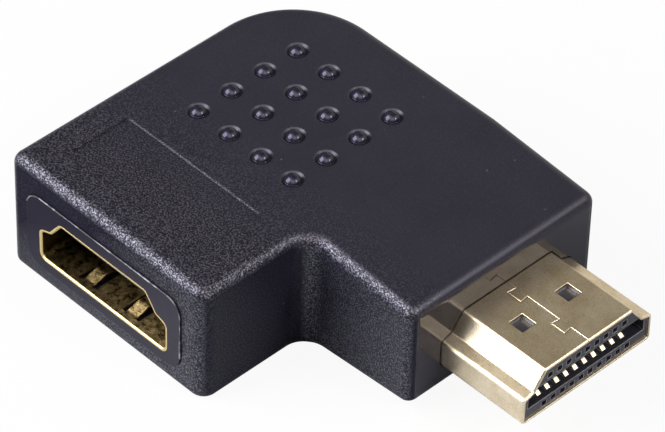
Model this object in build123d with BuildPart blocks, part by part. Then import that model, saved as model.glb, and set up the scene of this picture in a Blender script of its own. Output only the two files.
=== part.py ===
from build123d import *

import math
import os

os.makedirs("parts", exist_ok=True)

# Right angle digital video adapter: a flat L-shaped moulding with a plug on one
# arm and a socket on the other, both 19-way and both with the wide side down.
# Origin: centre of the footprint, on the underside. +X is the way the plug points,
# -Y is the way the socket faces, +Z is up. All sizes are in millimetres.

# Moulded body
body_length = 33.1
body_depth = 30.6
body_height = 11.25
socket_arm_width = 21.85
plug_arm_width = 19.85
far_corner_radius = 7.8
inner_corner_radius = 1.8
back_corner_radius = 1.0
socket_corner_radius = 1.3
plug_corner_radius = 0.9
top_edge_radius = 1.0
bottom_edge_radius = 0.7

# The plug arm gets thinner towards the plug, on both faces
arm_taper = 4.4
taper_setback = 0.35

# Grip pips, domes that each stand in a dish, placed from the back and the far side
pip_pitch = 3.52
pip_rows = 4
pip_centre_x = 11.63
pip_centre_y = 11.38
pip_diameter = 1.44
pip_rise = 0.4
dish_rim = 0.26
dish_depth = 0.2

# Sunk nameplate panel, left bare, placed from the back and the mouth
panel_length = 14.7
panel_width = 5.8
panel_depth = 0.12
panel_centre_x = 10.6
panel_centre_y = 6.55

# Inner mould that holds both connectors and shows as a land round the socket
skin_thickness = 2.1
land_above = 1.14
land_below = 0.91
land_beside = 1.4
land_corner_radius = 1.5
land_proud = 0.12

# Outline shared by plug and socket, taken on the outside of the plug
connector_width = 13.9
connector_height = 4.45
shoulder_height = 2.55
shoulder_run = 1.07
ledge_rise = 0.35
crown_run = 1.18
base_bend = 0.2
shoulder_bend = 0.15
crown_bend = 0.12
knee_bend = 0.12
connector_base = 2.96
shell_wall = 0.25
mating_clearance = 0.05
insulator_clearance = 0.02

# Plug, placed from the far side
plug_reach = 8.6
plug_centre = 9.6
plug_root_depth = 4.6
plug_root_gap = 0.1
plug_root_gap_depth = 0.8
plug_lip = 0.12
plug_insulator_overhang = 0.55
plug_insulator_setback = 0.15
window_size = 1.45
window_spacing = 4.9
window_distance = 4.66
window_pocket = 0.12
seam_width = 0.05
seam_offset = 0.12
dovetail_reach = 0.8
dovetail_tip = 1.4
dovetail_neck = 1.2
dovetail_distances = (2.45, 7.0)

# Slot of the plug and tongue of the socket share one mid-plane with the board
slot_height = 1.6
slot_depth = 7.5
slot_end_wall = 0.43
tongue_gap = 0.2
tongue_end_gap = 0.6
tongue_tip_distance = 2.0
tongue_edge_chamfer = 0.2

# Contacts
pin_count = 19
pin_half_pitch = 0.5
contact_width = 0.36
contact_thickness = 0.2
channel_width = 0.52
channel_floor = 0.18
channel_roof = 0.55
channel_end_wall = 0.5
contact_tip_distance = 0.72
contact_crest_distance = 1.15
contact_crest_proud = 0.26
contact_tip_drop = 0.3
contact_foot_distance = 3.8
contact_bend_radius = 0.3
contact_step_inset = 2.55
contact_step_length = 0.9
tail_length = 2.4
tail_bay_margin = 0.2
socket_contact_width = 0.45
socket_contact_setback = 0.35
socket_contact_ramp = 0.4

# Socket, a little off the middle of its arm
socket_offset = 0.175
socket_cavity_depth = 9.0
socket_block_length = 2.9
socket_block_overhang = 0.5
mouth_chamfer = 0.1
spring_width = 1.1
spring_slot = 0.4
spring_spacing = 4.84
spring_root = 0.65
spring_length = 3.6
spring_crest_distance = 1.5
spring_crest = 0.4
spring_bend_radius = 0.6

# Circuit board
board_margin = 1.6
board_gap = 0.1

# Where things lie, worked out from the sizes above
x_back = -(body_length + plug_reach) / 2
x_end = x_back + body_length
x_tip = x_end + plug_reach
x_arm = x_back + socket_arm_width
y_mouth = -body_depth / 2
y_face = y_mouth + land_proud
y_far = body_depth / 2
y_arm = y_far - plug_arm_width
x_socket = x_back + socket_arm_width / 2 - socket_offset
y_plug = y_far - plug_centre
crown_inside = connector_height - shell_wall - insulator_clearance
floor_inside = shell_wall + insulator_clearance
channel_depth = (crown_inside - channel_roof - floor_inside - channel_floor - slot_height) / 2
mating_height = floor_inside + channel_floor + channel_depth + slot_height / 2
slot_width = connector_width - 2 * (floor_inside + slot_end_wall)
tongue_thickness = slot_height - 2 * tongue_gap
tongue_width = slot_width - 2 * tongue_end_gap
plug_shell_length = plug_reach + plug_root_depth
plug_insulator_length = plug_shell_length + plug_insulator_overhang - plug_insulator_setback
socket_insulator_length = socket_cavity_depth + socket_block_length
socket_shell_length = socket_insulator_length - socket_block_overhang
socket_skin = mating_clearance + shell_wall
board_mid = connector_base + mating_height
board_thickness = tongue_thickness - contact_thickness

plug_plane = Plane(origin=(x_tip, y_plug, connector_base), x_dir=(0, 1, 0), z_dir=(1, 0, 0))
socket_plane = Plane(origin=(x_socket, y_mouth, connector_base), x_dir=(1, 0, 0), z_dir=(0, -1, 0))


def connector_outline(grow, outer_skin=0):
    """Connector outline with its wide side on the X axis, grown or shrunk all round.

    The bends have their inside radius on the sheet's inner side, so the two knees,
    which bend the other way, take theirs from the outer skin of the shell.
    """
    half = connector_width / 2
    ledge = half - shoulder_run
    crown = ledge - crown_run
    with BuildSketch(mode=Mode.PRIVATE) as outline:
        with BuildLine():
            Polyline(
                (-half, 0),
                (half, 0),
                (half, shoulder_height),
                (ledge, shoulder_height + ledge_rise),
                (crown, connector_height),
                (-crown, connector_height),
                (-ledge, shoulder_height + ledge_rise),
                (-half, shoulder_height),
                close=True,
            )
        make_face()
        if grow != 0:
            offset(amount=grow, kind=Kind.INTERSECTION, mode=Mode.REPLACE)
        outward = shell_wall + grow
        radii = (
            base_bend + outward,
            shoulder_bend + outward,
            knee_bend + outer_skin - grow,
            crown_bend + outward,
        )
        levels = outline.vertices().group_by(Axis.Y)
        corners = [(vertex.center(), radius) for level, radius in zip(levels, radii) for vertex in level]
        for corner, radius in corners:
            fillet(outline.vertices().sort_by_distance(corner)[0], radius)
    return outline.sketch


# Circuit board, an L with a leg behind the socket and a leg behind the plug
board_inset = skin_thickness + board_margin
board_back = x_back + board_inset
board_far = y_far - board_inset
board_plug_end = x_tip - plug_insulator_setback - plug_insulator_length - board_gap
board_socket_end = y_mouth + socket_insulator_length + board_gap
board_arm_side = max(board_socket_end, y_arm + board_inset)
board_legs = (
    (x_arm - board_inset - board_back, board_far - board_socket_end),
    (board_plug_end - board_back, board_far - board_arm_side),
)
with BuildPart() as circuit_board:
    with BuildSketch(Plane.XY.offset(board_mid - board_thickness / 2)) as board_plan:
        with Locations((board_back, board_far)):
            for leg_length, leg_depth in board_legs:
                Rectangle(leg_length, leg_depth, align=(Align.MIN, Align.MAX))
        board_corner = board_plan.vertices().sort_by_distance((board_back, board_far))[0]
        fillet(board_corner, far_corner_radius - board_inset)
    extrude(amount=board_thickness)
circuit_board.part.label = "circuit_board"

# Plug shell, folded from sheet and closed on top by a dovetailed seam
with BuildPart() as plug_shell:
    with BuildSketch(plug_plane.offset(-plug_lip)):
        add(connector_outline(0))
    extrude(amount=plug_lip - plug_shell_length)
    with BuildSketch(plug_plane.offset(-plug_lip)):
        add(connector_outline(0))
    with BuildSketch(plug_plane):
        add(connector_outline(-plug_lip))
    loft(ruled=True)
    with BuildSketch(plug_plane):
        add(connector_outline(-shell_wall))
    extrude(amount=-plug_shell_length, mode=Mode.SUBTRACT)
    with BuildSketch(Plane.XY.offset(connector_base)):
        with Locations((x_tip - window_distance, y_plug)):
            with GridLocations(1, window_spacing, 1, 2):
                Rectangle(window_size, window_size)
    extrude(amount=connector_height, mode=Mode.SUBTRACT)
    seam_y = y_plug - seam_offset
    seam_points = [(x_tip + seam_width, seam_y)]
    for distance in dovetail_distances:
        seam_points += [
            (x_tip - distance + dovetail_neck / 2, seam_y),
            (x_tip - distance + dovetail_tip / 2, seam_y - dovetail_reach),
            (x_tip - distance - dovetail_tip / 2, seam_y - dovetail_reach),
            (x_tip - distance - dovetail_neck / 2, seam_y),
        ]
    seam_points += [(x_tip - plug_shell_length - seam_width, seam_y)]
    with BuildSketch(Plane.XY.offset(connector_base + connector_height)):
        with BuildLine():
            Polyline(*seam_points)
        trace(line_width=seam_width)
    extrude(amount=-1.5 * shell_wall, mode=Mode.SUBTRACT)
plug_shell.part.label = "plug_shell"


def contact_name(connector, pin):
    return f"{connector}_contact_{pin}"


def row_side(pin):
    """Odd pins lie along the wide side, below the mid-plane, and even pins above it."""
    return -1 if pin % 2 else 1


def pin_offset(pin):
    return (pin - (pin_count + 1) / 2) * pin_half_pitch


# Plug contacts: sprung crests near the mouth, feet along the channels, tails on the board
foot_height = slot_height / 2 + channel_depth - contact_thickness * 1.1
tail_height = (board_thickness + contact_thickness) / 2
crest_height = slot_height / 2 - contact_crest_proud + contact_thickness / 2
plug_insulator_end = plug_insulator_setback + plug_insulator_length
plug_tail_end = plug_insulator_end + tail_length
step_start = plug_insulator_end - contact_step_inset
plug_contacts = []
for pin in range(1, pin_count + 1):
    side = row_side(pin)
    contact_plane = Plane(
        origin=(x_tip, y_plug - pin_offset(pin), connector_base + mating_height),
        x_dir=(-1, 0, 0),
        z_dir=(0, 1, 0),
    )
    with BuildPart() as plug_contact:
        with BuildSketch(contact_plane):
            with BuildLine():
                FilletPolyline(
                    (contact_tip_distance, side * (crest_height + contact_tip_drop)),
                    (contact_crest_distance, side * crest_height),
                    (contact_foot_distance, side * foot_height),
                    radius=contact_bend_radius,
                )
                Polyline(
                    (contact_foot_distance, side * foot_height),
                    (step_start, side * foot_height),
                    (step_start + contact_step_length, side * tail_height),
                    (plug_tail_end, side * tail_height),
                )
            trace(line_width=contact_thickness)
        extrude(amount=contact_width / 2, both=True)
    plug_contact.part.label = contact_name("plug", pin)
    plug_contacts.append(plug_contact.part)

# Plug insulator: a block with the mating slot, one channel per contact and a
# small opening at the mouth in front of each contact
plug_block = connector_outline(-shell_wall - insulator_clearance)
with BuildPart() as plug_insulator:
    with BuildSketch(plug_plane.offset(-plug_insulator_setback)):
        add(plug_block)
    extrude(amount=-plug_insulator_length)
    with BuildSketch(plug_plane):
        with Locations((0, mating_height)):
            Rectangle(slot_width, slot_height)
    extrude(amount=-slot_depth, mode=Mode.SUBTRACT)
    channel_centre = slot_height / 2 + channel_depth / 2
    with BuildSketch(plug_plane.offset(-plug_insulator_setback - channel_end_wall)):
        for pin in range(1, pin_count + 1):
            with Locations((-pin_offset(pin), mating_height + row_side(pin) * channel_centre)):
                Rectangle(channel_width, channel_depth)
    extrude(amount=plug_insulator_setback + channel_end_wall - slot_depth, mode=Mode.SUBTRACT)
    opening_centre = slot_height / 2 + channel_depth - channel_width / 2
    with BuildSketch(plug_plane):
        for pin in range(1, pin_count + 1):
            with Locations((-pin_offset(pin), mating_height + row_side(pin) * opening_centre)):
                Rectangle(channel_width, channel_width)
    extrude(amount=-plug_insulator_setback - channel_end_wall, mode=Mode.SUBTRACT)
    for height in (shell_wall, connector_height - shell_wall):
        with BuildSketch(Plane.XY.offset(connector_base + height)):
            with Locations((x_tip - window_distance, y_plug)):
                with GridLocations(1, window_spacing, 1, 2):
                    Rectangle(window_size, window_size)
        extrude(amount=window_pocket + insulator_clearance, both=True, mode=Mode.SUBTRACT)
    add(plug_contacts, mode=Mode.SUBTRACT)
plug_insulator.part.label = "plug_insulator"

# Socket shell, with two springs in the wide side and two in the narrow side
socket_inner = connector_outline(mating_clearance, socket_skin)
socket_outer = connector_outline(socket_skin, socket_skin)
spring_window_length = spring_length + spring_slot
with BuildPart() as socket_shell:
    with BuildSketch(socket_plane):
        add(socket_outer)
    extrude(amount=-socket_shell_length)
    with BuildSketch(socket_plane):
        add(socket_inner)
    extrude(amount=-socket_shell_length, mode=Mode.SUBTRACT)
    with BuildSketch(socket_plane):
        add(connector_outline(mating_clearance + mouth_chamfer, socket_skin))
    with BuildSketch(socket_plane.offset(-mouth_chamfer)):
        add(socket_inner)
    loft(ruled=True, mode=Mode.SUBTRACT)
    with BuildSketch(Plane.XY.offset(connector_base - mating_clearance - shell_wall)):
        with Locations((x_socket, y_mouth + spring_root + spring_window_length / 2)):
            with GridLocations(spring_spacing, 1, 2, 1):
                Rectangle(spring_width + 2 * spring_slot, spring_window_length)
    extrude(amount=connector_height + 2 * mating_clearance + 2 * shell_wall, mode=Mode.SUBTRACT)
    wall_middle = mating_clearance + shell_wall / 2
    for side, height in ((1, -wall_middle), (-1, connector_height + wall_middle)):
        for along in (-spring_spacing / 2, spring_spacing / 2):
            spring_plane = Plane(
                origin=(x_socket + along, y_mouth, connector_base + height),
                x_dir=(0, 1, 0),
                z_dir=(1, 0, 0),
            )
            with BuildSketch(spring_plane):
                with BuildLine():
                    FilletPolyline(
                        (spring_root - shell_wall, 0),
                        (spring_root + shell_wall, 0),
                        (spring_root + spring_crest_distance, side * spring_crest),
                        (spring_root + spring_length, 0),
                        radius=spring_bend_radius,
                    )
                trace(line_width=shell_wall)
            extrude(amount=spring_width / 2, both=True)
socket_shell.part.label = "socket_shell"

# Socket contacts: flat strips along the tongue, with tails on the board
socket_contacts = []
socket_tail_end = socket_insulator_length + tail_length
strip_height = tongue_thickness / 2
for pin in range(1, pin_count + 1):
    side = row_side(pin)
    contact_plane = Plane(
        origin=(x_socket + pin_offset(pin), y_mouth, board_mid),
        x_dir=(0, 1, 0),
        z_dir=(1, 0, 0),
    )
    strip_front = tongue_tip_distance + socket_contact_setback
    with BuildPart() as socket_contact:
        with BuildSketch(contact_plane):
            with BuildLine():
                Polyline(
                    (strip_front, side * (strip_height - contact_thickness)),
                    (strip_front + socket_contact_ramp, side * strip_height),
                    (socket_tail_end, side * strip_height),
                )
            trace(line_width=contact_thickness)
        extrude(amount=socket_contact_width / 2, both=True)
    socket_contact.part.label = contact_name("socket", pin)
    socket_contacts.append(socket_contact.part)

# Socket insulator: a rear block with the tongue that carries the contacts
socket_block = connector_outline(mating_clearance - insulator_clearance, socket_skin)
with BuildPart() as socket_insulator:
    with BuildSketch(socket_plane.offset(-socket_cavity_depth)):
        add(socket_block)
    extrude(amount=-socket_block_length)
    with BuildSketch(socket_plane.offset(-tongue_tip_distance)):
        with Locations((0, mating_height)):
            Rectangle(tongue_width, tongue_thickness)
    extrude(amount=tongue_tip_distance - socket_insulator_length)
    tongue_tip = socket_insulator.faces().sort_by(Axis.Y)[0]
    chamfer(tongue_tip.edges(), tongue_edge_chamfer)
    add(socket_contacts, mode=Mode.SUBTRACT)
socket_insulator.part.label = "socket_insulator"

# Block of the inner mould before the connectors and the board are let into it
inner_mould_base = connector_base - socket_skin - land_below
inner_mould_height = connector_height + 2 * socket_skin + land_below + land_above
land_width = connector_width + 2 * socket_skin + 2 * land_beside
with BuildPart() as inner_block:
    with BuildSketch(Plane.XY.offset(inner_mould_base)) as inner_plan:
        with BuildLine():
            Polyline(
                (x_back + skin_thickness, y_mouth + skin_thickness),
                (x_arm - skin_thickness, y_mouth + skin_thickness),
                (x_arm - skin_thickness, y_arm + skin_thickness),
                (x_end - skin_thickness, y_arm + skin_thickness),
                (x_end - skin_thickness, y_far - skin_thickness),
                (x_back + skin_thickness, y_far - skin_thickness),
                close=True,
            )
        make_face()
        inner_far_corner = (x_back + skin_thickness, y_far - skin_thickness)
        fillet(
            inner_plan.vertices().sort_by_distance(inner_far_corner)[0],
            far_corner_radius - skin_thickness,
        )
    extrude(amount=inner_mould_height)
    land_middle = inner_mould_base + inner_mould_height / 2 - connector_base
    with BuildSketch(socket_plane):
        with Locations((0, land_middle)):
            RectangleRounded(land_width, inner_mould_height, land_corner_radius)
    extrude(amount=-skin_thickness)

# Grip pips, moulded in one with the skin and kept apart as one set of domes
pip_height = dish_depth + pip_rise
pip_sphere = (pip_diameter**2 / 4 + pip_height**2) / (2 * pip_height)
dish_floor = Plane.XY.offset(body_height - dish_depth)
pip_places = Location((x_back + pip_centre_x, y_far - pip_centre_y, body_height))
with BuildPart() as grip_pips:
    with Locations(pip_places):
        with GridLocations(pip_pitch, pip_pitch, pip_rows, pip_rows):
            with Locations((0, 0, pip_rise - pip_sphere)):
                Sphere(pip_sphere, rotation=(90, 45, 0))
    split(bisect_by=dish_floor, keep=Keep.TOP)
grip_pips.part.label = "grip_pips"

# Overmould: the outer skin with its rounded edges, dishes and nameplate panel
with BuildPart() as overmould:
    with BuildSketch() as body_plan:
        with BuildLine():
            Polyline(
                (x_back, y_face),
                (x_arm, y_face),
                (x_arm, y_arm),
                (x_end, y_arm),
                (x_end, y_far),
                (x_back, y_far),
                close=True,
            )
        make_face()
        for corner, radius in (
            ((x_back, y_face), back_corner_radius),
            ((x_arm, y_face), socket_corner_radius),
            ((x_arm, y_arm), inner_corner_radius),
            ((x_end, y_arm), plug_corner_radius),
            ((x_end, y_far), plug_corner_radius),
            ((x_back, y_far), far_corner_radius),
        ):
            fillet(body_plan.vertices().sort_by_distance(corner)[0], radius)
    extrude(amount=body_height)
    with BuildSketch(Plane.XZ):
        with BuildLine():
            taper_x = x_arm + taper_setback
            taper_run = x_end - taper_x
            drop = taper_run * math.tan(math.radians(arm_taper))
            Polyline(
                (x_back, 0),
                (taper_x, 0),
                (x_end, drop),
                (x_end, body_height - drop),
                (taper_x, body_height),
                (x_back, body_height),
                close=True,
            )
        make_face()
    extrude(amount=body_depth, both=True, mode=Mode.INTERSECT)
    for side, radius in ((1, top_edge_radius), (-1, bottom_edge_radius)):
        skins = overmould.faces().filter_by(lambda face: side * face.normal_at().Z > 0.9)
        fillet(skins.edges().filter_by(lambda edge: not edge.is_interior), radius)
    with Locations(pip_places):
        with GridLocations(pip_pitch, pip_pitch, pip_rows, pip_rows):
            with Locations((0, 0, -dish_depth / 2)):
                Cone(pip_diameter / 2, pip_diameter / 2 + dish_rim, dish_depth, mode=Mode.SUBTRACT)
    with BuildSketch(Plane.XY.offset(body_height)):
        with Locations((x_back + panel_centre_x, y_mouth + panel_centre_y)):
            Rectangle(panel_length, panel_width)
    extrude(amount=-panel_depth, mode=Mode.SUBTRACT)
    add(inner_block.part, mode=Mode.SUBTRACT)
    with BuildSketch(plug_plane.offset(-plug_reach)):
        add(connector_outline(0))
    extrude(amount=-skin_thickness, mode=Mode.SUBTRACT)
    with BuildSketch(plug_plane.offset(-plug_reach)):
        add(connector_outline(plug_root_gap))
    extrude(amount=-plug_root_gap_depth, mode=Mode.SUBTRACT)
overmould.part.label = "overmould"

# Inner mould: the block with the shells, insulators and board let in, and a bay
# round each row of contact tails
bay_width = (pin_count - 1) * pin_half_pitch + socket_contact_width + 2 * tail_bay_margin
bay_height = board_thickness + 2 * contact_thickness + 2 * tail_bay_margin
with BuildPart() as inner_mould:
    add(inner_block.part)
    with BuildSketch(plug_plane.offset(-plug_reach)):
        add(connector_outline(0))
    extrude(amount=-plug_root_depth, mode=Mode.SUBTRACT)
    with BuildSketch(plug_plane.offset(-plug_shell_length)):
        add(plug_block)
    extrude(amount=-plug_insulator_overhang, mode=Mode.SUBTRACT)
    with BuildSketch(socket_plane):
        add(socket_outer)
    extrude(amount=-socket_shell_length, mode=Mode.SUBTRACT)
    with BuildSketch(socket_plane.offset(-socket_shell_length)):
        add(socket_block)
    extrude(amount=-socket_block_overhang, mode=Mode.SUBTRACT)
    add(circuit_board.part, mode=Mode.SUBTRACT)
    for connector_plane, bay_front, bay_end in (
        (plug_plane, plug_insulator_end, plug_tail_end),
        (socket_plane, socket_insulator_length, socket_tail_end),
    ):
        with BuildSketch(connector_plane.offset(-bay_front)):
            with Locations((0, mating_height)):
                Rectangle(bay_width, bay_height)
        extrude(amount=bay_front - bay_end - tail_bay_margin, mode=Mode.SUBTRACT)
inner_mould.part.label = "inner_mould"

# One file for each piece
housings = [overmould.part, grip_pips.part, inner_mould.part, circuit_board.part]
connector_pieces = [plug_shell.part, plug_insulator.part, socket_shell.part, socket_insulator.part]
for piece in housings + connector_pieces + plug_contacts + socket_contacts:
    export_step(piece, f"parts/{piece.label}.step")
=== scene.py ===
import math

import bpy
from mathutils import Matrix, Vector


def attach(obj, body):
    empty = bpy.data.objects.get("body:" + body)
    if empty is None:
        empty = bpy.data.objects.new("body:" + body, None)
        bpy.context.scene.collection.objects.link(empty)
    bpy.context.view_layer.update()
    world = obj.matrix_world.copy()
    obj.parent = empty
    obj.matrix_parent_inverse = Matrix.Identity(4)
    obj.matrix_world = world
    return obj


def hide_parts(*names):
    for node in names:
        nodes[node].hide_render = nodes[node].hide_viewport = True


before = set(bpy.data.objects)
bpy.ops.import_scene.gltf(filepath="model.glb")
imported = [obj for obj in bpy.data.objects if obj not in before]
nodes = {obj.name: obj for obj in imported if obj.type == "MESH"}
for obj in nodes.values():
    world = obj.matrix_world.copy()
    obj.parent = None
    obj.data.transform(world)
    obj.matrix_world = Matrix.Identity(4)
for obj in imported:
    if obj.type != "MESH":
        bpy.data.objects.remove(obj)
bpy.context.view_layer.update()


# Camera. A long lens from the front right, looking down on the two arms. Its place and
# aim fit the outlines, the pips and the windows in the photograph.
camera_data = bpy.data.cameras.new("camera")
camera_data.sensor_fit = "HORIZONTAL"
camera_data.sensor_width = 36.0
camera_data.lens = 246.82
camera_data.clip_start = 0.01
camera = bpy.data.objects.new("camera", camera_data)
bpy.context.scene.collection.objects.link(camera)
camera_place = Vector((0.178466, -0.179826, 0.244796))
level_line = Vector((0.69331, 0.72031, 0.02185))
look_back = Vector((0.51723, -0.51849, 0.68092)).normalized()
look_up = look_back.cross(level_line).normalized()
look_right = look_up.cross(look_back)
camera.matrix_world = Matrix((
    (look_right.x, look_up.x, look_back.x, camera_place.x),
    (look_right.y, look_up.y, look_back.y, camera_place.y),
    (look_right.z, look_up.z, look_back.z, camera_place.z),
    (0, 0, 0, 1),
))
bpy.context.scene.camera = camera
bpy.context.scene.view_settings.view_transform = "Standard"


# Overmould. One shot of black PVC over the inner mould, in a tool that is spark-eroded,
# which leaves a fine grain, with a painted glint that sparkles along the rounded edges and
# painted shade on some faces. The dishes of the grip pips have no grain, and the end round the
# plug is polished like a mirror.
def srgb(text):
    """A colour written as six hex digits, turned to the linear values that shaders take."""
    channels = [int(text[i:i + 2], 16) / 255 for i in (0, 2, 4)]
    linear = [c / 12.92 if c <= 0.04045 else ((c + 0.055) / 1.055) ** 2.4 for c in channels]
    return linear + [1.0]


def add_node(tree, kind, settings=None, links=None):
    """Adds a shader node, gives it its settings and joins its sockets to others."""
    node = tree.nodes.new(kind)
    for key, value in (settings or {}).items():
        if isinstance(key, int) or key in node.inputs.keys():
            node.inputs[key].default_value = value
        else:
            setattr(node, key, value)
    for key, source in (links or {}).items():
        tree.links.new(source, node.inputs[key])
    return node


def new_material(name):
    """A material, its nodes, its main shader and the place on the piece in millimetres."""
    material = bpy.data.materials.new(name)
    material.use_nodes = True
    tree = material.node_tree
    metres = add_node(tree, "ShaderNodeTexCoord").outputs["Object"]
    place = add_node(tree, "ShaderNodeVectorMath", {
        "operation": "SCALE", "Scale": 1000.0,
    }, {0: metres})
    return material, tree, tree.nodes["Principled BSDF"], place.outputs["Vector"]


def dress(obj, material):
    """Puts one material on a piece, in place of those that it has."""
    obj.data.materials.clear()
    obj.data.materials.append(material)


# Sizes in millimetres.
pips_per_side = 4
pip_pitch = 3.52
pip_middle = (-9.22, 3.92)
dish_radius = 0.98
dish_rim = 0.06
top_skin_over = 10.9
plug_end_from = 12.19
plug_end_wander = 0.05
socket_end_below = -15.0

pvc, tree, shader, place = new_material("black_pvc_spark_eroded")
axes = add_node(tree, "ShaderNodeSeparateXYZ", None, {0: place})

# Grain pits are about 0.15 mm wide, with a coarser swell of half a millimetre under them.
fine = add_node(tree, "ShaderNodeTexNoise", {
    "Scale": 7.0, "Detail": 3.0, "Roughness": 0.62,
}, {"Vector": place})
coarse = add_node(tree, "ShaderNodeTexNoise", {
    "Scale": 2.2, "Detail": 2.0, "Roughness": 0.5,
}, {"Vector": place})
swell_share = 0.35
grain = add_node(tree, "ShaderNodeMath", {
    "operation": "MULTIPLY_ADD", 1: swell_share,
}, {0: coarse.outputs["Fac"], 2: fine.outputs["Fac"]})

# Dishes of the pips: the distance from the nearest pip's centre, on the top only.
from_middle = add_node(tree, "ShaderNodeVectorMath", {
    "operation": "SUBTRACT", 1: (pip_middle[0], pip_middle[1], 0),
}, {0: place})
in_pitches = add_node(tree, "ShaderNodeVectorMath", {
    "operation": "SCALE", "Scale": 1 / pip_pitch,
}, {0: from_middle.outputs[0]})
cell = add_node(tree, "ShaderNodeVectorMath", {
    "operation": "FRACTION",
}, {0: in_pitches.outputs[0]})
off_centre = add_node(tree, "ShaderNodeVectorMath", {
    "operation": "SUBTRACT", 1: (0.5, 0.5, 0),
}, {0: cell.outputs[0]})
across = add_node(tree, "ShaderNodeVectorMath", {
    "operation": "MULTIPLY", 1: (pip_pitch, pip_pitch, 0),
}, {0: off_centre.outputs[0]})
reach = add_node(tree, "ShaderNodeVectorMath", {
    "operation": "LENGTH",
}, {0: across.outputs[0]})
near_pip = add_node(tree, "ShaderNodeMapRange", {
    "From Min": dish_radius, "From Max": dish_radius + dish_rim, "To Min": 1.0, "To Max": 0.0,
}, {"Value": reach.outputs["Value"]})
block = add_node(tree, "ShaderNodeVectorMath", {
    "operation": "ABSOLUTE",
}, {0: in_pitches.outputs[0]})
block_axes = add_node(tree, "ShaderNodeSeparateXYZ", None, {0: block.outputs[0]})
on_top = add_node(tree, "ShaderNodeMath", {
    "operation": "GREATER_THAN", 1: top_skin_over,
}, {0: axes.outputs["Z"]})
dishes = add_node(tree, "ShaderNodeMath", {
    "operation": "MULTIPLY",
}, {0: near_pip.outputs[0], 1: on_top.outputs[0]})
for axis in ("X", "Y"):
    inside_block = add_node(tree, "ShaderNodeMath", {
        "operation": "LESS_THAN", 1: pips_per_side / 2,
    }, {0: block_axes.outputs[axis]})
    dishes = add_node(tree, "ShaderNodeMath", {
        "operation": "MULTIPLY",
    }, {0: dishes.outputs[0], 1: inside_block.outputs[0]})

# Polished end round the plug, up to the ragged line where the grain starts, which has
# notches about 0.2 mm wide.
ragged = add_node(tree, "ShaderNodeTexNoise", {"Scale": 5.0, "Detail": 4.0}, {"Vector": place})
end_line = add_node(tree, "ShaderNodeMath", {
    "operation": "MULTIPLY_ADD", 1: plug_end_wander, 2: plug_end_from,
}, {0: ragged.outputs["Fac"]})
plug_end = add_node(tree, "ShaderNodeMath", {
    "operation": "GREATER_THAN",
}, {0: axes.outputs["X"], 1: end_line.outputs[0]})
smooth = add_node(tree, "ShaderNodeMath", {
    "operation": "MAXIMUM",
}, {0: dishes.outputs[0], 1: plug_end.outputs[0]})

# The grain and its painted glint are strongest by the socket and on the near walls, which face
# the front lamp, and die out towards the far corner of the top; on the walls that face the plug's
# side they are taken nearly away, a painted shade.
top_depth = add_node(tree, "ShaderNodeMapRange", {
    "From Min": -10.0, "From Max": 0.0, "To Min": 1.0, "To Max": 0.08,
}, {"Value": axes.outputs["Y"]})
normal = add_node(tree, "ShaderNodeTexCoord").outputs["Normal"]
facing = add_node(tree, "ShaderNodeSeparateXYZ", None, {0: normal})
near_wall = add_node(tree, "ShaderNodeMapRange", {
    "From Min": -0.25, "From Max": -0.6, "To Min": 0.0, "To Max": 0.95,
}, {"Value": facing.outputs["Y"]})
rightwards = add_node(tree, "ShaderNodeMath", {
    "operation": "SUBTRACT",
}, {0: facing.outputs["X"], 1: facing.outputs["Z"]})
right_walls_painted_shade = add_node(tree, "ShaderNodeMapRange", {
    "From Min": 0.55, "From Max": 0.85, "To Min": 1.0, "To Max": 0.12,
}, {"Value": rightwards.outputs[0]})
deepest = add_node(tree, "ShaderNodeMath", {
    "operation": "MAXIMUM",
}, {0: top_depth.outputs[0], 1: near_wall.outputs[0]})
# Round the socket it weakens again towards the outer end of the face, which darkens that end as
# painted shade.
outer_end = add_node(tree, "ShaderNodeMapRange", {
    "From Min": -4.0, "From Max": -16.0, "To Min": 0.0, "To Max": 0.6,
}, {"Value": axes.outputs["X"]})
flat_face = add_node(tree, "ShaderNodeMapRange", {
    "From Min": -0.9, "From Max": -0.99, "To Min": 0.0, "To Max": 1.0,
}, {"Value": facing.outputs["Y"]})
outer_end_painted_shade = add_node(tree, "ShaderNodeMath", {
    "operation": "MULTIPLY",
}, {0: outer_end.outputs[0], 1: flat_face.outputs[0]})
depth = add_node(tree, "ShaderNodeMath", {
    "operation": "MULTIPLY",
}, {0: deepest.outputs[0], 1: right_walls_painted_shade.outputs[0]})
for taken_off in (outer_end_painted_shade, smooth):
    left_on = add_node(tree, "ShaderNodeMath", {
        "operation": "SUBTRACT", 0: 1.0,
    }, {1: taken_off.outputs[0]})
    depth = add_node(tree, "ShaderNodeMath", {
        "operation": "MULTIPLY",
    }, {0: depth.outputs[0], 1: left_on.outputs[0]})
skin_edge = add_node(tree, "ShaderNodeBevel", {"samples": 6, "Radius": 0.00012})
pits = add_node(tree, "ShaderNodeBump", {"Distance": 0.00006}, {
    "Strength": depth.outputs[0], "Height": grain.outputs[0],
    "Normal": skin_edge.outputs["Normal"],
})
tree.links.new(pits.outputs["Normal"], shader.inputs["Normal"])

# Pale specks of dust and scuffs, 0.1 to 0.2 mm across and a couple of millimetres apart.
speck = add_node(tree, "ShaderNodeTexVoronoi", {"Scale": 0.55}, {"Vector": place})
speck_edge = add_node(tree, "ShaderNodeMapRange", {
    "From Min": 0.03, "From Max": 0.05, "To Min": 0.28, "To Max": 0.0,
}, {"Value": speck.outputs["Distance"]})
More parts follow.
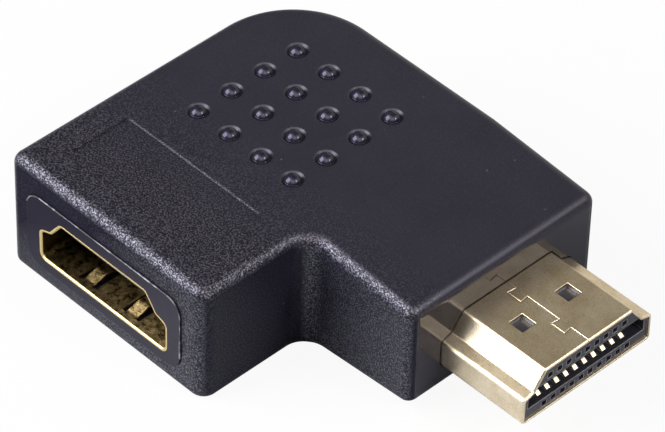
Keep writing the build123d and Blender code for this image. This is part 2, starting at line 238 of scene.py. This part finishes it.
# The black clouds over some 5 mm, and the crests of the grain are painted paler than its pits, a
# painted glint.
cloud = add_node(tree, "ShaderNodeTexNoise", {"Scale": 0.22, "Detail": 4.0}, {"Vector": place})
body_black = add_node(tree, "ShaderNodeMix", {
    "data_type": "RGBA", 6: srgb("191822"), 7: srgb("22212D"),
}, {0: cloud.outputs["Fac"]})
crests = add_node(tree, "ShaderNodeMapRange", {
    "From Min": 0.47, "From Max": 0.66,
}, {"Value": fine.outputs["Fac"]})
pits_and_painted_glints = add_node(tree, "ShaderNodeMix", {
    "data_type": "RGBA", 6: srgb("101018"), 7: srgb("2B2A38"),
}, {0: crests.outputs[0]})
grained = add_node(tree, "ShaderNodeMix", {
    "data_type": "RGBA",
}, {0: depth.outputs[0], 6: body_black.outputs[2], 7: pits_and_painted_glints.outputs[2]})
with_specks = add_node(tree, "ShaderNodeMix", {
    "data_type": "RGBA", 7: srgb("8E8D96"),
}, {0: speck_edge.outputs[0], 6: grained.outputs[2]})
tree.links.new(with_specks.outputs[2], shader.inputs["Base Color"])
matt = add_node(tree, "ShaderNodeMapRange", {
    "To Min": 0.33, "To Max": 0.42,
}, {"Value": cloud.outputs["Fac"]})
mirror_polish = 0.1
sheen = add_node(tree, "ShaderNodeMix", {
    "data_type": "FLOAT", 3: mirror_polish,
}, {0: plug_end.outputs[0], 2: matt.outputs[0]})
tree.links.new(sheen.outputs[0], shader.inputs["Roughness"])

# Gloss: the crests glint where the grain is deep, and the walls that face the plug's side are made
# dull as painted shade.
crest_glint = add_node(tree, "ShaderNodeMapRange", {
    "To Min": 0.2, "To Max": 2.2,
}, {"Value": crests.outputs[0]})
smooth_glint_shaded_right = add_node(tree, "ShaderNodeMapRange", {
    "From Min": 0.55, "From Max": 0.85, "To Min": 0.5, "To Max": 0.05,
}, {"Value": rightwards.outputs[0]})
skin_glint = add_node(tree, "ShaderNodeMix", {
    "data_type": "FLOAT",
}, {0: depth.outputs[0], 2: smooth_glint_shaded_right.outputs[0], 3: crest_glint.outputs[0]})
polished_glint = 0.38
glint = add_node(tree, "ShaderNodeMix", {
    "data_type": "FLOAT", 3: polished_glint,
}, {0: plug_end.outputs[0], 2: skin_glint.outputs[0]})
# The face round the socket is darkened at its upper outer corner as painted shade, and its gloss
# comes back evenly towards the lower edge and the corner between the arms.
painted_shade_slope = -1.75
climb = add_node(tree, "ShaderNodeMath", {
    "operation": "MULTIPLY_ADD", 1: painted_shade_slope,
}, {0: axes.outputs["Z"], 2: axes.outputs["X"]})
face_gloss = add_node(tree, "ShaderNodeMapRange", {
    "From Min": -28.0, "From Max": -12.0, "To Min": 0.02, "To Max": 1.0,
}, {"Value": climb.outputs[0]})
socket_end = add_node(tree, "ShaderNodeMath", {
    "operation": "LESS_THAN", 1: socket_end_below,
}, {0: axes.outputs["Y"]})
socket_face = add_node(tree, "ShaderNodeMath", {
    "operation": "MULTIPLY",
}, {0: flat_face.outputs[0], 1: socket_end.outputs[0]})
gloss_left = add_node(tree, "ShaderNodeMix", {
    "data_type": "FLOAT", 2: 1.0,
}, {0: socket_face.outputs[0], 3: face_gloss.outputs[0]})
glint_with_painted_shade = add_node(tree, "ShaderNodeMath", {
    "operation": "MULTIPLY",
}, {0: glint.outputs[0], 1: gloss_left.outputs[0]})
tree.links.new(glint_with_painted_shade.outputs[0], shader.inputs["Specular IOR Level"])
cool_gloss = srgb("E9E8FF")
shader.inputs["Specular Tint"].default_value = cool_gloss
dress(nodes["overmould"], pvc)


# Grip pips. Sixteen small domes moulded in one with the overmould, each in its dish,
# from holes that were drilled and polished in the tool, so they are the glossiest part.
pip_sphere = 0.732
pip_floor = 11.05
pip_top = 11.65
cut_over_floor = 0.05
foot_steps = ((0.03, 1.02), (0.02, 1.03))
foot_crease = 0.6  # radians
bpy.ops.object.select_all(action="DESELECT")
bpy.ops.mesh.primitive_uv_sphere_add(
    segments=48, ring_count=32, radius=pip_sphere / 1000,
    location=(0, 0, (pip_top - pip_sphere) / 1000))
pip = bpy.context.object
bpy.ops.object.transform_apply(location=True, rotation=True, scale=True)
bpy.ops.object.mode_set(mode="EDIT")
bpy.ops.mesh.select_all(action="SELECT")
bpy.ops.mesh.bisect(
    plane_co=(0, 0, (pip_floor + cut_over_floor) / 1000), plane_no=(0, 0, 1), clear_inner=True)
# The cut edge is still selected: it is drawn down and out to a small foot, then closed.
for drop, spread in foot_steps:
    bpy.ops.mesh.extrude_region_move(TRANSFORM_OT_translate={"value": (0, 0, -drop / 1000)})
    bpy.ops.transform.resize(value=(spread, spread, 1.0))
bpy.ops.mesh.edge_face_add()
bpy.ops.mesh.select_all(action="SELECT")
bpy.ops.mesh.normals_make_consistent(inside=False)
bpy.ops.object.mode_set(mode="OBJECT")
bpy.ops.object.shade_smooth_by_angle(angle=foot_crease)
to_corner = (pips_per_side - 1) / 2
copies = []
for column in range(pips_per_side):
    for row in range(pips_per_side):
        copy = bpy.data.objects.new("pip_copy", pip.data.copy())
        bpy.context.scene.collection.objects.link(copy)
        pip_x = pip_middle[0] + (column - to_corner) * pip_pitch
        pip_y = pip_middle[1] + (row - to_corner) * pip_pitch
        copy.data.transform(Matrix.Translation((pip_x / 1000, pip_y / 1000, 0)))
        copies.append(copy)
bpy.data.objects.remove(pip)
bpy.ops.object.select_all(action="DESELECT")
for copy in copies:
    copy.select_set(True)
bpy.context.view_layer.objects.active = copies[0]
bpy.ops.object.join()
grip_pips = bpy.context.object
grip_pips.name = "grip_pip_domes"

polished_pvc, tree, shader, place = new_material("black_pvc_polished")
# Smears of half a millimetre, such as fingers leave.
smear = add_node(tree, "ShaderNodeTexNoise", {"Scale": 2.0, "Detail": 3.0}, {"Vector": place})
pip_black = add_node(tree, "ShaderNodeMix", {
    "data_type": "RGBA", 6: srgb("181721"), 7: srgb("201F2A"),
}, {0: smear.outputs["Fac"]})
tree.links.new(pip_black.outputs[2], shader.inputs["Base Color"])
pip_gloss = add_node(tree, "ShaderNodeMapRange", {
    "To Min": 0.16, "To Max": 0.26,
}, {"Value": smear.outputs["Fac"]})
tree.links.new(pip_gloss.outputs[0], shader.inputs["Roughness"])
shader.inputs["Specular IOR Level"].default_value = 0.45
shader.inputs["Specular Tint"].default_value = srgb("D9D8FF")
# Tool marks of the drill, about 0.1 mm apart and very shallow.
ripple = add_node(tree, "ShaderNodeTexNoise", {"Scale": 9.0, "Detail": 2.0}, {"Vector": place})
tool_marks = add_node(tree, "ShaderNodeBump", {
    "Strength": 0.5, "Distance": 0.000004,
}, {"Height": ripple.outputs["Fac"]})
tree.links.new(tool_marks.outputs["Normal"], shader.inputs["Normal"])
dress(grip_pips, polished_pvc)
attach(grip_pips, "root")
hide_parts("grip_pips")


# Inner mould. A first shot of black polypropylene that holds both connectors. Its end
# shows round the socket as a land, smooth because it lay against a polished steel insert.
polypropylene, tree, shader, place = new_material("black_polypropylene_smooth")
# The steel left a haze that clouds over a couple of millimetres.
haze = add_node(tree, "ShaderNodeTexNoise", {
    "Scale": 0.45, "Detail": 5.0, "Roughness": 0.6,
}, {"Vector": place})
land_black = add_node(tree, "ShaderNodeMix", {
    "data_type": "RGBA", 6: srgb("181722"), 7: srgb("22212D"),
}, {0: haze.outputs["Fac"]})
tree.links.new(land_black.outputs[2], shader.inputs["Base Color"])
land_gloss = add_node(tree, "ShaderNodeMapRange", {
    "To Min": 0.34, "To Max": 0.6,
}, {"Value": haze.outputs["Fac"]})
tree.links.new(land_gloss.outputs[0], shader.inputs["Roughness"])
# The land is darkened at the same corner as the skin round it, the same painted shade.
land_axes = add_node(tree, "ShaderNodeSeparateXYZ", None, {0: place})
land_climb = add_node(tree, "ShaderNodeMath", {
    "operation": "MULTIPLY_ADD", 1: painted_shade_slope,
}, {0: land_axes.outputs["Z"], 2: land_axes.outputs["X"]})
land_glint = add_node(tree, "ShaderNodeMapRange", {
    "From Min": -28.5, "From Max": -13.0, "To Min": 0.03, "To Max": 0.285,
}, {"Value": land_climb.outputs[0]})
tree.links.new(land_glint.outputs[0], shader.inputs["Specular IOR Level"])
shader.inputs["Specular Tint"].default_value = cool_gloss
# Shallow flow ripples a millimetre or so apart.
flow = add_node(tree, "ShaderNodeTexNoise", {"Scale": 1.1, "Detail": 2.0}, {"Vector": place})
land_edge = add_node(tree, "ShaderNodeBevel", {"samples": 6, "Radius": 0.00005})
flow_ripples = add_node(tree, "ShaderNodeBump", {
    "Strength": 0.5, "Distance": 0.00002,
}, {"Height": flow.outputs["Fac"], "Normal": land_edge.outputs["Normal"]})
tree.links.new(flow_ripples.outputs["Normal"], shader.inputs["Normal"])
dress(nodes["inner_mould"], polypropylene)


# Flash. A thin lip of PVC that crept between the tool and the land, left along the land's top and
# right edges and never trimmed, and painted pale there as a painted highlight on those edges.
land_left, land_right, land_low, land_high = -18.75, -1.45, 1.75, 8.85
land_bend = 1.5
land_face = -15.28
half_width = (land_right - land_left) / 2000
half_height = (land_high - land_low) / 2000
past_bend = 0.9 * land_bend / 1000
# The plane starts a millimetre wide, so that resize takes the land's size in millimetres.
bpy.ops.object.select_all(action="DESELECT")
bpy.ops.mesh.primitive_plane_add(size=0.001, location=(0, 0, 0))
flash = bpy.context.object
flash.name = "land_flash"
bpy.ops.object.mode_set(mode="EDIT")
bpy.ops.mesh.select_all(action="SELECT")
bpy.ops.transform.resize(value=(land_right - land_left, land_high - land_low, 1))
bpy.ops.mesh.bevel(offset=land_bend / 1000, segments=6, affect="VERTICES")
bpy.ops.mesh.delete(type="ONLY_FACE")
bpy.ops.mesh.select_all(action="DESELECT")
bpy.ops.object.mode_set(mode="OBJECT")
# The outline's bottom and left side go, and what is left becomes a round bead.
for vertex in flash.data.vertices:
    low = vertex.co.y < -half_height + past_bend
    left = vertex.co.x < -half_width + past_bend and vertex.co.y < half_height - past_bend
    vertex.select = low or left
bpy.ops.object.mode_set(mode="EDIT")
bpy.ops.mesh.delete(type="VERT")
bpy.ops.mesh.select_all(action="SELECT")
bpy.ops.mesh.subdivide(number_cuts=12)
bpy.ops.object.mode_set(mode="OBJECT")
bpy.ops.object.convert(target="CURVE")
flash.data.bevel_depth = 0.00006
flash.data.bevel_resolution = 2
flash.data.use_fill_caps = True
bpy.ops.object.convert(target="MESH")
land_centre = ((land_left + land_right) / 2000, land_face / 1000, (land_low + land_high) / 2000)
flash.data.transform(Matrix.Rotation(math.radians(90), 4, "X"))
flash.data.transform(Matrix.Translation(land_centre))
creep = bpy.data.textures.new("flash_creep", "CLOUDS")
creep.noise_scale = 0.0009
wander = flash.modifiers.new("wander", "DISPLACE")
wander.texture = creep
wander.texture_coords = "LOCAL"
wander.strength = 0.00009
wander.mid_level = 0.5
bpy.ops.object.modifier_apply(modifier="wander")
bpy.ops.object.shade_smooth()

# Pale in patches of half a millimetre: partly stretched-thin PVC, partly a painted highlight along
# the land's top and right edges.
thin_pvc, tree, shader, place = new_material("pale_pvc_flash_and_painted_highlight")
patchy = add_node(tree, "ShaderNodeTexNoise", {"Scale": 1.6, "Detail": 4.0}, {"Vector": place})
flash_pale_and_painted_highlight = add_node(tree, "ShaderNodeValToRGB", None, {0: patchy.outputs["Fac"]})
for stop, (position, colour) in zip(
        flash_pale_and_painted_highlight.color_ramp.elements, ((0.45, "2C2A31"), (0.62, "948F97"))):
    stop.position = position
    stop.color = srgb(colour)
tree.links.new(flash_pale_and_painted_highlight.outputs["Color"], shader.inputs["Base Color"])
shader.inputs["Roughness"].default_value = 0.4
dress(flash, thin_pvc)
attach(flash, "root")


# Plug shell. Brass sheet, folded and dovetailed, barrel-plated with nickel and a thin
# flash of pale gold, which leaves a fine matt grain and bright sheared edges.
plating, tree, shader, place = new_material("pale_gold_flash_on_nickel")
# Stains of a few millimetres, and plating grain about 0.15 mm wide.
tint = add_node(tree, "ShaderNodeTexNoise", {
    "Scale": 0.5, "Detail": 5.0, "Roughness": 0.6,
}, {"Vector": place})
plate_grain = add_node(tree, "ShaderNodeTexNoise", {
    "Scale": 7.0, "Detail": 4.0, "Roughness": 0.75,
}, {"Vector": place})
grain_and_stains = add_node(tree, "ShaderNodeMath", {
    "operation": "ADD",
}, {0: plate_grain.outputs["Fac"], 1: tint.outputs["Fac"]})
mottle = add_node(tree, "ShaderNodeMapRange", {
    "From Min": 0.78, "From Max": 1.22,
}, {"Value": grain_and_stains.outputs[0]})
pale_gold = add_node(tree, "ShaderNodeMix", {
    "data_type": "RGBA", 6: srgb("CFBFA0"), 7: srgb("EEE2CC"),
}, {0: mottle.outputs[0]})
tree.links.new(pale_gold.outputs[2], shader.inputs["Base Color"])
shader.inputs["Metallic"].default_value = 1.0
plate_gloss = add_node(tree, "ShaderNodeMapRange", {
    "To Min": 0.22, "To Max": 0.38,
}, {"Value": plate_grain.outputs["Fac"]})
tree.links.new(plate_gloss.outputs[0], shader.inputs["Roughness"])
# The sheet itself waves slightly, a couple of millimetres from crest to crest.
sheet_wave = add_node(tree, "ShaderNodeTexNoise", {
    "Scale": 0.6, "Detail": 1.0,
}, {"Vector": place})
sheared_edge = add_node(tree, "ShaderNodeBevel", {"samples": 8, "Radius": 0.00012})
plate_bump = add_node(tree, "ShaderNodeBump", {
    "Strength": 0.6, "Distance": 0.000015,
}, {"Height": plate_grain.outputs["Fac"], "Normal": sheared_edge.outputs["Normal"]})
wave_bump = add_node(tree, "ShaderNodeBump", {
    "Strength": 0.3, "Distance": 0.00004,
}, {"Height": sheet_wave.outputs["Fac"], "Normal": plate_bump.outputs["Normal"]})
tree.links.new(wave_bump.outputs["Normal"], shader.inputs["Normal"])
dress(nodes["plug_shell"], plating)


# Plug and socket insulators. Blocks of black glass-filled nylon, whose sharp mould
# edges catch the light and whose faces show the glass as a faint mottle.
nylon, tree, shader, place = new_material("black_glass_filled_nylon")
# Bundles of glass about a quarter of a millimetre wide.
fibres = add_node(tree, "ShaderNodeTexNoise", {
    "Scale": 4.0, "Detail": 5.0, "Roughness": 0.65, "Distortion": 0.6,
}, {"Vector": place})
nylon_black = add_node(tree, "ShaderNodeMix", {
    "data_type": "RGBA", 6: srgb("201F26"), 7: srgb("3A3943"),
}, {0: fibres.outputs["Fac"]})
nylon_gloss = add_node(tree, "ShaderNodeMapRange", {
    "To Min": 0.3, "To Max": 0.45,
}, {"Value": fibres.outputs["Fac"]})
tree.links.new(nylon_gloss.outputs[0], shader.inputs["Roughness"])
mould_edge = add_node(tree, "ShaderNodeBevel", {"samples": 6, "Radius": 0.00012})
fibre_bump = add_node(tree, "ShaderNodeBump", {
    "Strength": 0.6, "Distance": 0.000015,
}, {"Height": fibres.outputs["Fac"], "Normal": mould_edge.outputs["Normal"]})
tree.links.new(fibre_bump.outputs["Normal"], shader.inputs["Normal"])
# Edges painted pale as a painted highlight, found from how far the rounded normal leans away from
# the face's own.
face_normal = add_node(tree, "ShaderNodeNewGeometry").outputs["Normal"]
lean = add_node(tree, "ShaderNodeVectorMath", {
    "operation": "DOT_PRODUCT",
}, {0: mould_edge.outputs["Normal"], 1: face_normal})
edge_highlight_mask = add_node(tree, "ShaderNodeMapRange", {
    "From Min": 0.995, "From Max": 0.88, "To Min": 0.0, "To Max": 1.0,
}, {"Value": lean.outputs["Value"]})
painted_edge_highlight = add_node(tree, "ShaderNodeMix", {
    "data_type": "RGBA", 7: srgb("A5A3B0"),
}, {0: edge_highlight_mask.outputs[0], 6: nylon_black.outputs[2]})
tree.links.new(painted_edge_highlight.outputs[2], shader.inputs["Base Color"])
dress(nodes["plug_insulator"], nylon)
dress(nodes["socket_insulator"], nylon)


# Contacts. Phosphor bronze strip, stamped, sprung and pushed into the insulators, with
# selective gold that shows bright on the crests.
contact_gold, tree, shader, place = new_material("bright_gold_on_bronze")
# The gold varies over a sixth of a millimetre.
gold_cloud = add_node(tree, "ShaderNodeTexNoise", {"Scale": 6.0, "Detail": 3.0}, {"Vector": place})
crest_gold = add_node(tree, "ShaderNodeMix", {
    "data_type": "RGBA", 6: srgb("F0DDB2"), 7: srgb("FFF4DA"),
}, {0: gold_cloud.outputs["Fac"]})
tree.links.new(crest_gold.outputs[2], shader.inputs["Base Color"])
shader.inputs["Metallic"].default_value = 1.0
contact_gloss = add_node(tree, "ShaderNodeMapRange", {
    "To Min": 0.2, "To Max": 0.34,
}, {"Value": gold_cloud.outputs["Fac"]})
tree.links.new(contact_gloss.outputs[0], shader.inputs["Roughness"])
for name, node in nodes.items():
    if "_contact_" in name:
        dress(node, contact_gold)


# Socket shell. Drawn brass under a yellower gold plate, dull and stained inside, with painted
# shade over the outer half of its floor and a bright rim where the mouth was coined.
rim_outer, rim_inner = -15.26, -15.1
painted_shade_full, painted_shade_none = -15.0, -5.0
socket_gold, tree, shader, place = new_material("yellow_gold_on_brass")
# Stains about 0.4 mm wide.
stain_noise = add_node(tree, "ShaderNodeTexNoise", {
    "Scale": 2.6, "Detail": 5.0, "Roughness": 0.75,
}, {"Vector": place})
stain = add_node(tree, "ShaderNodeMapRange", {
    "From Min": 0.35, "From Max": 0.65,
}, {"Value": stain_noise.outputs["Fac"]})
stained_gold = add_node(tree, "ShaderNodeMix", {
    "data_type": "RGBA", 6: srgb("6E5A34"), 7: srgb("CDB888"),
}, {0: stain.outputs[0]})
shell_axes = add_node(tree, "ShaderNodeSeparateXYZ", None, {0: place})
# The outer half of the floor is painted dark brown, a painted shade towards the outer end.
outer_painted_shade = add_node(tree, "ShaderNodeMapRange", {
    "From Min": painted_shade_full, "From Max": painted_shade_none, "To Min": 0.8, "To Max": 0.0,
}, {"Value": shell_axes.outputs["X"]})
gold_with_painted_shade = add_node(tree, "ShaderNodeMix", {
    "data_type": "RGBA", 7: srgb("33260F"),
}, {0: outer_painted_shade.outputs[0], 6: stained_gold.outputs[2]})
at_rim = add_node(tree, "ShaderNodeMapRange", {
    "From Min": rim_outer, "From Max": rim_inner, "To Min": 1.0, "To Max": 0.0,
}, {"Value": shell_axes.outputs["Y"]})
rim_gold = add_node(tree, "ShaderNodeMix", {
    "data_type": "RGBA", 7: srgb("DDC78E"),
}, {0: at_rim.outputs[0], 6: gold_with_painted_shade.outputs[2]})
tree.links.new(rim_gold.outputs[2], shader.inputs["Base Color"])
shader.inputs["Metallic"].default_value = 1.0
shell_gloss = add_node(tree, "ShaderNodeMapRange", {
    "To Min": 0.24, "To Max": 0.5,
}, {"Value": stain.outputs[0]})
tree.links.new(shell_gloss.outputs[0], shader.inputs["Roughness"])
# Drawing marks about 0.1 mm wide.
draw_marks = add_node(tree, "ShaderNodeTexNoise", {
    "Scale": 9.0, "Detail": 3.0, "Roughness": 0.7,
}, {"Vector": place})
coined_edge = add_node(tree, "ShaderNodeBevel", {"samples": 6, "Radius": 0.00003})
shell_bump = add_node(tree, "ShaderNodeBump", {
    "Strength": 1.0, "Distance": 0.00004,
}, {"Height": draw_marks.outputs["Fac"], "Normal": coined_edge.outputs["Normal"]})
tree.links.new(shell_bump.outputs["Normal"], shader.inputs["Normal"])
dress(nodes["socket_shell"], socket_gold)


# Circuit board. Glass fibre laminate under green solder mask, which carries the tails of
# both connectors and is sealed in the mouldings. The weave shades the mask faintly.
laminate, tree, shader, place = new_material("green_solder_mask")
# Weave half a millimetre from thread to thread.
weave = add_node(tree, "ShaderNodeTexNoise", {"Scale": 2.0, "Detail": 2.0}, {"Vector": place})
mask_green = add_node(tree, "ShaderNodeMix", {
    "data_type": "RGBA", 6: srgb("1B5230"), 7: srgb("276B40"),
}, {0: weave.outputs["Fac"]})
tree.links.new(mask_green.outputs[2], shader.inputs["Base Color"])
shader.inputs["Roughness"].default_value = 0.35
dress(nodes["circuit_board"], laminate)


# Table. A white paper sweep that keeps a faint shadow of the adapter. It lies a hair
# under the adapter, so that the two faces don't fight for the same place.
table_size = 3.0
table_drop = 0.00002
bpy.ops.object.select_all(action="DESELECT")
bpy.ops.mesh.primitive_plane_add(size=table_size, location=(0, 0, -table_drop))
bpy.ops.object.transform_apply(location=True, rotation=True, scale=True)
table = bpy.context.object
table.name = "table"
paper, tree, shader, place = new_material("white_paper_sweep")
# The paper clouds over a millimetre or so.
fibre = add_node(tree, "ShaderNodeTexNoise", {"Scale": 0.8, "Detail": 3.0}, {"Vector": place})
paper_white = add_node(tree, "ShaderNodeMix", {
    "data_type": "RGBA", 6: srgb("D2D2D2"), 7: srgb("DADADA"),
}, {0: fibre.outputs["Fac"]})
tree.links.new(paper_white.outputs[2], shader.inputs["Base Color"])
shader.inputs["Roughness"].default_value = 0.9
# How much of the paper shows as plain white: nearly all to the camera, which leaves the
# shadow faint, and a little in what a surface mirrors or lets through.
white_shares = (("Is Camera Ray", 0.93), ("Is Glossy Ray", 0.06), ("Is Transmission Ray", 0.06))
plain_white = add_node(tree, "ShaderNodeEmission", {"Color": (1, 1, 1, 1), "Strength": 1.0})
paper_rays = add_node(tree, "ShaderNodeLightPath")
seen_white, mirrored_white, through_white = (
    add_node(tree, "ShaderNodeMath", {
        "operation": "MULTIPLY", 1: share,
    }, {0: paper_rays.outputs[ray]}) for ray, share in white_shares)
seen_or_mirrored = add_node(tree, "ShaderNodeMath", {
    "operation": "MAXIMUM",
}, {0: seen_white.outputs[0], 1: mirrored_white.outputs[0]})
white_share = add_node(tree, "ShaderNodeMath", {
    "operation": "MAXIMUM",
}, {0: seen_or_mirrored.outputs[0], 1: through_white.outputs[0]})
paper_look = add_node(tree, "ShaderNodeMixShader", None, {
    0: white_share.outputs[0], 1: shader.outputs[0], 2: plain_white.outputs[0],
})
tree.links.new(paper_look.outputs[0], tree.nodes["Material Output"].inputs["Surface"])
dress(table, paper)


# Studio. A white room with even soft light from all round. What the gloss and the metal
# mirror is dimmer, with pale patches on the far wall, high on the right and overhead.
world = bpy.data.worlds.new("studio")
bpy.context.scene.world = world
world.use_nodes = True
tree = world.node_tree
fill = tree.nodes["Background"]
fill.inputs["Color"].default_value = (1, 1, 1, 1)
fill.inputs["Strength"].default_value = 0.18
direction = add_node(tree, "ShaderNodeTexCoord").outputs["Generated"]
towards = add_node(tree, "ShaderNodeSeparateXYZ", None, {0: direction})
walls = add_node(tree, "ShaderNodeMapRange", {
    "interpolation_type": "SMOOTHSTEP",
    "From Min": 0.05, "From Max": 0.6, "To Min": 0.05, "To Max": 0.28,
}, {"Value": towards.outputs["Z"]})
far_patch = add_node(tree, "ShaderNodeMapRange", {
    "interpolation_type": "SMOOTHSTEP",
    "From Min": 0.58, "From Max": 0.82, "To Min": 0.0, "To Max": 0.7,
}, {"Value": towards.outputs["Y"]})
walls = add_node(tree, "ShaderNodeMath", {
    "operation": "ADD",
}, {0: walls.outputs[0], 1: far_patch.outputs[0]})
# Each of the other patches grows along one axis and starts at a height: the first is high
# on the right wall, and the second on the near half of the ceiling.
for axis, from_min, from_max, strength, low_edge, high_edge in (
    ("X", 0.15, 0.55, 2.0, 0.25, 0.55),
    ("Y", -0.06, -0.3, 3.0, 0.5, 0.75),
):
    sideways = add_node(tree, "ShaderNodeMapRange", {
        "interpolation_type": "SMOOTHSTEP",
        "From Min": from_min, "From Max": from_max, "To Min": 0.0, "To Max": strength,
    }, {"Value": towards.outputs[axis]})
    upwards = add_node(tree, "ShaderNodeMapRange", {
        "interpolation_type": "SMOOTHSTEP",
        "From Min": low_edge, "From Max": high_edge, "To Min": 0.0, "To Max": 1.0,
    }, {"Value": towards.outputs["Z"]})
    patch = add_node(tree, "ShaderNodeMath", {
        "operation": "MULTIPLY",
    }, {0: sideways.outputs[0], 1: upwards.outputs[0]})
    walls = add_node(tree, "ShaderNodeMath", {
        "operation": "ADD",
    }, {0: walls.outputs[0], 1: patch.outputs[0]})
room = add_node(tree, "ShaderNodeBackground", {
    "Color": srgb("FFF6E6"),
}, {"Strength": walls.outputs[0]})
white_wall = add_node(tree, "ShaderNodeBackground", {"Color": (1, 1, 1, 1), "Strength": 1.0})
studio_rays = add_node(tree, "ShaderNodeLightPath")
lit_or_mirrored = add_node(tree, "ShaderNodeMixShader", None, {
    0: studio_rays.outputs["Is Glossy Ray"], 1: fill.outputs[0], 2: room.outputs[0],
})
studio_look = add_node(tree, "ShaderNodeMixShader", None, {
    0: studio_rays.outputs["Is Camera Ray"], 1: lit_or_mirrored.outputs[0],
    2: white_wall.outputs[0],
})
tree.links.new(studio_look.outputs[0], tree.nodes["World Output"].inputs["Surface"])


def softbox(name, towards_lamp, distance, size, level):
    """A lamp behind a diffuser that faces the adapter; level is how bright its front is."""
    lamp = bpy.data.lights.new(name, "AREA")
    lamp.shape = "RECTANGLE"
    lamp.size, lamp.size_y = size
    lamp.energy = level * math.pi * size[0] * size[1]
    holder = bpy.data.objects.new(name, lamp)
    bpy.context.scene.collection.objects.link(holder)
    aim = Vector(towards_lamp).normalized()
    holder.location = aim * distance
    holder.rotation_euler = aim.to_track_quat("Z", "Y").to_euler()


# A broad lamp at the front left lights the near walls, and a small bright one at the right
# puts the main highlight on each dome.
softbox("softbox_left", (-0.50, -0.68, 0.54), 0.5, (0.40, 0.40), 9.5)
softbox("softbox_right", (0.70, 0.25, 0.64), 0.5, (0.11, 0.11), 26.0)
